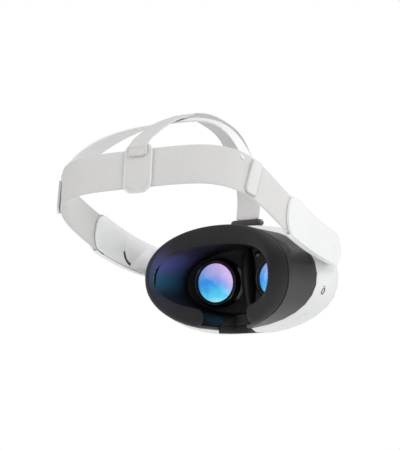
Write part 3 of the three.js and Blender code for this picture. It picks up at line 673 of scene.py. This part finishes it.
pad = publish(face_pad(), "face_pad", BODY_OF["face_cushion"], FINISHES["foam_dark"],
              ["face_cushion"], sharp=70)
smoothed(pad)
print("face pad:", len(pad.data.vertices), "corners before rounding")

# %% [markdown]
# ## The lines that the straps follow
#
# The rear band leaves one arm, turns round the head and enters the other. The crown band forks from it
# on both sides, and the top strap runs from the visor over the head and down to the tab. These are the
# CAD part's own lines, so that each strap lies exactly where its solid does.

# %% Strap lines
BAND_HALF_WIDTH = 95.5
BAND_START = 85.0
BAND_DEPTH = 82.0
BAND_POWER = 4.4
BAND_TILT = math.radians(10.3)
BAND_RISE = 26.3
BAND_BOW = 45.0
BAND_WIDTH = 34.0
BAND_THICKNESS = 2.4
ARM_FRONT = (91.0, -34.0)
BAND_TUCK = 20.0
TUCK_TURN = 0.35
CROWN_START = 140.0
CROWN_SIDE = 92.5
CROWN_BASE = 66.0
CROWN_RISE = 70.5
CROWN_FORWARD = 46.0
CROWN_LEAN = 3
CROWN_POWER = 2.0
OVER_HEAD = [(-38, 57), (-43, 78), (-36, 105), (-10, 132), (28, 143), (66, 145), (98, 138.5), (128, 129),
             (154, 117), (165.4, 111.6)]


def placed(x, y, z):
    """A point of the drawing, whose Y starts at the visor's rim and Z at its middle, in the frame."""
    return Vector((x, y + RIM_Y, z + VISOR_MIDDLE)) * MM


def band_height(y):
    return BAND_RISE + y * math.tan(BAND_TILT) + BAND_BOW * (y / 200) ** 2


def arm_side(y):
    forward = min(1.0, max(0.0, (BAND_START - y) / (BAND_START - ARM_FRONT[1])))
    return BAND_HALF_WIDTH + (ARM_FRONT[0] - BAND_HALF_WIDTH) * forward ** 1.5


def rear_line(t):
    turn = (math.pi + 2 * TUCK_TURN) * t - TUCK_TURN
    tucked = max(-turn, turn - math.pi) / TUCK_TURN
    if tucked > 0:
        y = BAND_START - BAND_TUCK * tucked
        return placed(math.copysign(arm_side(y), math.pi / 2 - turn), y, band_height(y))
    x = BAND_HALF_WIDTH * powered(math.cos(turn), BAND_POWER)
    y = BAND_START + BAND_DEPTH * math.sin(turn) ** (2 / BAND_POWER)
    return placed(x, y, band_height(y))


def crown_line(t):
    turn = math.pi * t
    lift = powered(math.sin(turn), CROWN_POWER)
    return placed(CROWN_SIDE * powered(math.cos(turn), CROWN_POWER),
                  CROWN_START - CROWN_FORWARD * lift ** CROWN_LEAN, CROWN_BASE + CROWN_RISE * lift)


def over_head_line(t):
    """A smooth line through the points over the head."""
    spans = len(OVER_HEAD) - 1
    i = min(int(t * spans), spans - 1)
    u = t * spans - i
    points = [Vector((0, *OVER_HEAD[min(max(i + k, 0), spans)])) for k in (-1, 0, 1, 2)]
    a, b, c, d = points
    bend = (2 * a - 5 * b + 4 * c - d) * u ** 2
    twist = (3 * b - a - 3 * c + d) * u ** 3
    smooth = 0.5 * (2 * b + (c - a) * u + bend + twist)
    return placed(*smooth)


def evenly(line, count, start=0.0, end=1.0, fine=2000):
    """Points at even distances along a line, between two shares of its length."""
    dense = [line(i / fine) for i in range(fine + 1)]
    run = [0.0]
    for a, b in zip(dense, dense[1:]):
        run.append(run[-1] + (b - a).length)
    points = []
    i = 0
    for k in range(count + 1):
        goal = run[-1] * (start + (end - start) * k / count)
        while i < fine - 1 and run[i + 1] < goal:
            i += 1
        step = max(run[i + 1] - run[i], 1e-9)
        points.append(dense[i].lerp(dense[i + 1], min(1.0, (goal - run[i]) / step)))
    return points


band_points = evenly(rear_line, 200)
band_length = sum((b - a).length for a, b in zip(band_points, band_points[1:]))
print("rear band:", round(band_length, 3), "m")

# %% [markdown]
# ## Straps
#
# A woven strap is a flat skin with soft, slightly thicker edges where its outermost yarns turn back.
# Its outline is a very flat soft rectangle of sixteen corners, carried along the strap's line and kept
# square to the direction that the strap's width lies in. Its ends close over a few millimetres.

# %% Strap skins
SECTION = 16


def strap_outline(across, outward, width, thickness):
    ring = []
    for k in range(SECTION):
        turn = 2 * math.pi * (k + 0.5) / SECTION
        u = math.copysign(abs(math.cos(turn)) ** 0.35, math.cos(turn))
        v = math.copysign(abs(math.sin(turn)) ** 0.6, math.sin(turn))
        hem = 1.0 + 0.18 * max(0.0, abs(u) - 0.7) / 0.3
        ring.append(across * (u * width / 2) + outward * (v * hem * thickness / 2))
    return ring


def strap(points, across_at, width, thickness):
    stations = []
    last = len(points) - 1
    for i, point in enumerate(points):
        along = (points[min(i + 1, last)] - points[max(i - 1, 0)]).normalized()
        across = across_at(i / last, along)
        across = (across - along * across.dot(along)).normalized()
        outward = along.cross(across)
        narrower, thinner = (0.97, 0.72) if i in (0, last) else (1.0, 1.0)
        outline = strap_outline(across, outward, width * narrower * MM, thickness * thinner * MM)
        stations.append([point + corner for corner in outline])
    return sweep(stations)


def band_across(share, along):
    return Vector((0, -math.sin(BAND_TILT), math.cos(BAND_TILT)))


def crown_across(share, along):
    turn = math.pi * share
    outward = Vector((math.cos(turn), 0.25 * math.sin(turn), 0.97 * math.sin(turn)))
    return outward.cross(along)


def sideways(share, along):
    return Vector((1, 0, 0))


def soft_strap(name, node, bm, **rules):
    cloth = rules.get("cloth", FINISHES["strap_cloth"])
    piece = publish(bm, name, rules.get("body", BODY_OF[node]), cloth, [node], sharp=80)
    return smoothed(piece)


def stem_points():
    """The stem's line, carried on over the tab that it is sewn to."""
    centre = rear_line(0.5)
    up = band_across(0, None)
    outward = Vector((0, math.cos(BAND_TILT), math.sin(BAND_TILT)))
    lap = [centre + up * (reach * MM) + outward * (4.5 * MM) for reach in (19.5, 17.5, 15.5, 13.5, 11.5, 9.5)]
    return evenly(over_head_line, 40, STEM_START, 1.0)[:-3] + lap


CLOTH = FINISHES["strap_cloth"]
STEM_START = 0.65
soft_strap("rear_band_cloth", "rear_band",
           strap(evenly(rear_line, 110), band_across, BAND_WIDTH, BAND_THICKNESS))
soft_strap("crown_band_cloth", "crown_band",
           strap(evenly(crown_line, 70, 0.075, 0.925), crown_across, 24, 2.0), cloth=CROWN_CLOTH)
soft_strap("top_strap_stem_cloth", "top_strap_stem", strap(stem_points(), sideways, 18, 1.8))
top = soft_strap("top_strap_cloth", "top_strap",
                 strap(evenly(over_head_line, 70, 0.0, STEM_START - 0.002), sideways, 24, 1.8), body=None)
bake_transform(top)
print("straps: rear band, crown band, top strap and its stem")

# %% [markdown]
# ## Tab at the back
#
# The top strap ends in a hook-and-loop tab that wraps the rear band. It is a flat pad with round ends
# and a bound edge, so the pad is swept like a strap and the binding is a thin tube round its outline.

# %% Tab
TAB_SIZE = (25.0, 42.0, 1.8)
TAB_CORNER = 8.0
TAB_LIFT = 2.6


def tab_frame():
    centre = rear_line(0.5)
    up = band_across(0, None)
    outward = Vector((0, math.cos(BAND_TILT), math.sin(BAND_TILT)))
    return centre, up, outward


def rounded_half(distance, length, half, corner):
    near = min(distance, length - distance, corner)
    return half - corner + math.sqrt(max(0.0, corner ** 2 - (corner - near) ** 2))


def tab_pad():
    centre, up, outward = tab_frame()
    width, length, thickness = TAB_SIZE
    stations = []
    for i in range(29):
        share = (1 - math.cos(math.pi * i / 28)) / 2
        half = rounded_half(share * length, length, width / 2, TAB_CORNER)
        ends = 0.5 if i in (0, 28) else 1.0
        point = centre + up * ((share - 0.5) * length * MM) + outward * (TAB_LIFT * MM)
        outline = strap_outline(Vector((1, 0, 0)), outward, 2 * half * MM, thickness * ends * MM)
        stations.append([point + corner for corner in outline])
    return sweep(stations)


def tube(points, radius, sides=8):
    """A closed round bead along a loop of points."""
    stations = []
    count = len(points)
    for i, point in enumerate(points):
        along = (points[(i + 1) % count] - points[i - 1]).normalized()
        side = along.cross(Vector((0.13, 1, 0.21))).normalized()
        other = along.cross(side)
        turns = [2 * math.pi * k / sides for k in range(sides)]
        stations.append([point + (side * math.cos(a) + other * math.sin(a)) * radius for a in turns])
    return sweep(stations, closed=True)


def tab_edge(inset=0.0, count=72):
    centre, up, outward = tab_frame()
    half = TAB_SIZE[0] / 2 - inset
    reach = TAB_SIZE[1] / 2 - inset
    corner = TAB_CORNER - inset
    points = []
    for k in range(count):
        turn = 2 * math.pi * (k + 0.5) / count
        c, s = math.cos(turn), math.sin(turn)
        u = math.copysign(half - corner, c) + corner * c
        w = math.copysign(reach - corner, s) + corner * s
        points.append(centre + Vector((u, 0, 0)) * MM + up * (w * MM) + outward * (TAB_LIFT * MM))
    return points


pad_piece = publish(tab_pad(), "tab_cloth", BODY_OF["hook_tab"], CLOTH, ["hook_tab"], sharp=80)
smoothed(pad_piece)
publish(tube(tab_edge(), 1.0 * MM), "tab_binding", BODY_OF["hook_tab"], PIPING, sharp=80)
print("tab: pad and binding")

# %% [markdown]
# ## Sewing
#
# The tab and the stem are held by a run of stitches near their edges. A stitch is a short fat grain of
# thread, so each run is a row of small rounded grains laid end to end along its line.

# %% Stitches
THREAD = hard_finish("thread", grey(0.66, 0.01), grey(0.8), 0.7, grain=3000.0, bump=0.5)


def stitches(name, points, outward, body, step=2.4):
    """Grains of thread, one every few millimetres along a line of points."""
    bm = bmesh.new()
    run = 0.0
    for a, b in zip(points, points[1:]):
        run += (b - a).length
        if run < step * MM:
            continue
        run = 0.0
        along = (b - a).normalized()
        side = along.cross(outward)
        turn = Matrix((along, side, outward)).transposed().to_4x4()
        shape = Matrix.Diagonal((0.85 * MM, 0.28 * MM, 0.22 * MM, 1))
        laid = Matrix.Translation(b) @ turn @ shape
        bmesh.ops.create_icosphere(bm, subdivisions=1, radius=1.0, matrix=laid)
    return publish(bm, name, body, THREAD, sharp=80)


TAB_CENTRE, TAB_UP, TAB_OUT = tab_frame()
edge_run = [point + TAB_OUT * (1.05 * MM) for point in tab_edge(2.6, 240)]
stitches("tab_stitches", edge_run, TAB_OUT, BODY_OF["hook_tab"])


BOX_STEPS = 20


def box_run(half, low, high, lift):
    """Points round a sewn box on the tab, and over its diagonal."""
    corners = [(-half, high), (half, high), (half, low), (-half, low), (-half, high), (half, low)]
    points = []
    for (u0, w0), (u1, w1) in zip(corners, corners[1:]):
        for k in range(BOX_STEPS):
            u = u0 + (u1 - u0) * k / BOX_STEPS
            w = w0 + (w1 - w0) * k / BOX_STEPS
            lifted = TAB_CENTRE + TAB_UP * (w * MM) + TAB_OUT * (lift * MM)
            points.append(lifted + Vector((u, 0, 0)) * MM)
    return points


stitches("stem_stitches", box_run(7.2, 10.6, 17.6, 5.55), TAB_OUT, BODY_OF["hook_tab"], step=1.9)
print("stitches on the tab and the stem")

# %% [markdown]
# ## Strap boot
#
# Where the top strap meets the visor, its bar is covered by a low moulded boot. It is a bar of soft
# rectangular section whose ends round off, so it is swept along X with a section that shrinks there.

# %% Strap boot
BOOT = {"centre": (0.0, -37.5, 54.0), "size": (31.0, 11.5, 6.8), "corner": 3.3}


def strap_boot():
    half, deep, high = (side / 2 for side in BOOT["size"])
    centre = placed(*BOOT["centre"])
    stations = []
    for i in range(25):
        x = -half * math.cos(math.pi * i / 24)
        near = min(half - abs(x), BOOT["corner"])
        shrink = BOOT["corner"] - math.sqrt(max(0.0, BOOT["corner"] ** 2 - (BOOT["corner"] - near) ** 2))
        shrink = min(shrink, BOOT["corner"] * 0.9)
        ring = []
        for k in range(24):
            turn = 2 * math.pi * (k + 0.5) / 24
            y = (deep - shrink) * powered(math.cos(turn), 3.4)
            z = (high - shrink) * powered(math.sin(turn), 3.4)
            ring.append(centre + Vector((x, y, z)) * MM)
        stations.append(ring)
    return sweep(stations)


boot = publish(strap_boot(), "strap_boot", BODY_OF["strap_anchor"],
               FINISHES[SLOT_OF["strap_anchor"]], ["strap_anchor"], sharp=60)
smoothed(boot)
print("strap boot:", len(boot.data.polygons), "faces")

# %% [markdown]
# ## Sound slot, jack and arm mark
#
# The arm's inner face has a curved slot filled with black mesh, and its outer face a round mark beside
# the pivot. The jack's mouth is a flush white collar round a black socket. Collar and mark lie on the
# skin below them, so a circle of rays from outside reads that skin, and their rings are laid over it.


# %% Sound slot
SLOT_RADIUS = 12.0
SLOT_TURN = (-1.41, 1.37)
SLOT_CORNERS = ((-1, -0.95), (1, -0.95), (1, 0.95), (-1, 0.95))


def slot_mesh(side, sign):
    centre = middle(f"speaker_{side}") + Vector((sign * 0.2, -6.0, 4.5)) * MM
    rings = []
    for k in range(21):
        turn = SLOT_TURN[0] + SLOT_TURN[1] * k / 20
        outward = Vector((0, math.cos(turn), math.sin(turn)))
        spot = centre + Vector((-sign * 2.9, 0, -1.0)) * MM + outward * (SLOT_RADIUS * MM)
        half = 1.15 if 0 < k < 20 else 0.7
        rings.append([spot + (outward * (half * u) + Vector((w, 0, 0))) * MM
                      for u, w in SLOT_CORNERS])
    return sweep(rings)


SPEAKER_MESH = cloth_finish("sound mesh", KNIT, {
    "Color": grey(0.03), "Shade": grey(0.004), "Loops": 1900.0}, 0.6, 0.0, 0.8)
for side, sign in (("left", 1), ("right", -1)):
    body = BODY_OF[f"speaker_{side}"]
    publish(slot_mesh(side, sign), f"sound_slot_{side}", body, SPEAKER_MESH)
print("sound slots: left, right")


# %% Dropping pieces onto a skin
def skin_of(node):
    mesh = frame["nodes"][node].data
    corners = [vertex.co.copy() for vertex in mesh.vertices]
    return BVHTree.FromPolygons(corners, [list(face.vertices) for face in mesh.polygons])


RAY_START = 0.03


def skin_disc(tree, spot, inward, profile, reach=5.0, steps=48):
    """A turned piece whose heights follow the skin that it lies on, read on a circle round it."""
    side = inward.cross(Vector((0, 0, 1))).normalized()
    up = side.cross(inward)
    hits = []
    for k in range(steps):
        turn = 2 * math.pi * k / steps
        ray = spot + (side * math.cos(turn) + up * math.sin(turn)) * (reach * MM)
        hits.append(tree.ray_cast(ray - inward * RAY_START, inward)[0])
    centre = sum(hits, Vector()) / steps
    rings = []
    for radius, height in profile:
        share = radius / reach
        rings.append([centre + (hit - centre) * share - inward * (height * MM) for hit in hits])
    return sweep(rings)


# %% Jack and arm mark
entry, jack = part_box("audio_jack")[0].x, middle("audio_jack")
spot = Vector((entry, jack.y, jack.z))
shell_skin = skin_of("rear_shell")
COLLAR = [(3.3, -1.2), (3.3, 0.15), (3.5, 0.22), (4.3, 0.16), (4.8, 0.08), (4.95, -0.1)]
SOCKET = [(0.05, -1.4), (1.8, -1.4), (1.9, 0.20), (2.1, 0.36), (3.0, 0.36), (3.2, 0.2), (3.2, -1.3)]
CONTACT = [(0.05, 0.05), (0.95, 0.05), (1.1, -0.1), (1.1, -1.3)]
inside = Vector((1, 0, 0))
JACK_PARTS = [("jack_collar", COLLAR, "shell_white", ["audio_jack"]),
              ("jack_socket", SOCKET, "barrel_black", []), ("jack_contact", CONTACT, "steel", [])]
for name, profile, slot, stands_for in JACK_PARTS:
    disc = skin_disc(shell_skin, spot, inside, profile)
    publish(disc, name, BODY_OF["audio_jack"], FINISHES[slot], stands_for)

MARK = [(2.1, -0.3), (2.1, 0.02), (2.25, 0.12), (2.4, 0.02), (2.4, -0.3)]
for side, sign in (("left", 1), ("right", -1)):
    pivot = middle(f"arm_pivot_{side}")
    spot = Vector((sign * 0.12, pivot.y + 0.002, pivot.z))
    mark = skin_disc(skin_of(f"arm_{side}"), spot, Vector((-sign, 0, 0)), MARK, reach=4.0)
    publish(mark, f"arm_mark_{side}", BODY_OF[f"arm_{side}"], SLIDER_FINISH)
print("jack in its collar, and a mark on each arm")

# %% [markdown]
# ## Lenses
#
# A lens is a shallow dome behind the rim of its barrel. Spinning its half outline makes a dome that is
# perfectly round, and a thin black ring between glass and barrel gives the depth of a real lens cell.

# %% Lenses
DOME = [(0.0, 0.0), (5.0, -0.1), (9.0, -0.3), (14.0, -0.9), (17.5, -1.7), (19.0, -2.4), (19.3, -3.4),
        (19.3, -6.8), (0.0, -6.8)]
CELL = [(18.2, -1.2), (19.55, -1.0), (19.55, -2.6), (18.9, -2.4), (18.2, -1.7)]


def spun(outline, centre, steps=96):
    """A solid of revolution about the lens axis, from radii and heights in millimetres."""
    bm = bmesh.new()
    verts = [bm.verts.new(centre + Vector((radius, height, 0)) * MM) for radius, height in outline]
    edges = [bm.edges.new(pair) for pair in zip(verts, verts[1:])]
    if outline[0][0] > 0:
        edges.append(bm.edges.new((verts[-1], verts[0])))
    bmesh.ops.spin(bm, geom=verts + edges, cent=centre, axis=(0, 1, 0), angle=2 * math.pi, steps=steps,
                   use_merge=True)
    bmesh.ops.remove_doubles(bm, verts=bm.verts, dist=1e-6)
    bmesh.ops.recalc_face_normals(bm, faces=bm.faces)
    return bm


for side in ("left", "right"):
    node = f"lens_{side}"
    low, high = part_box(node)
    centre = Vector(((low.x + high.x) / 2, high.y, (low.z + high.z) / 2))
    body = BODY_OF[node]
    publish(spun(DOME, centre), f"{node}_glass", body, FINISHES[node], [node], sharp=40)
    publish(spun(CELL, centre), f"lens_cell_{side}", body, FINISHES["shroud_black"])
print("lenses: two domes in black cells")
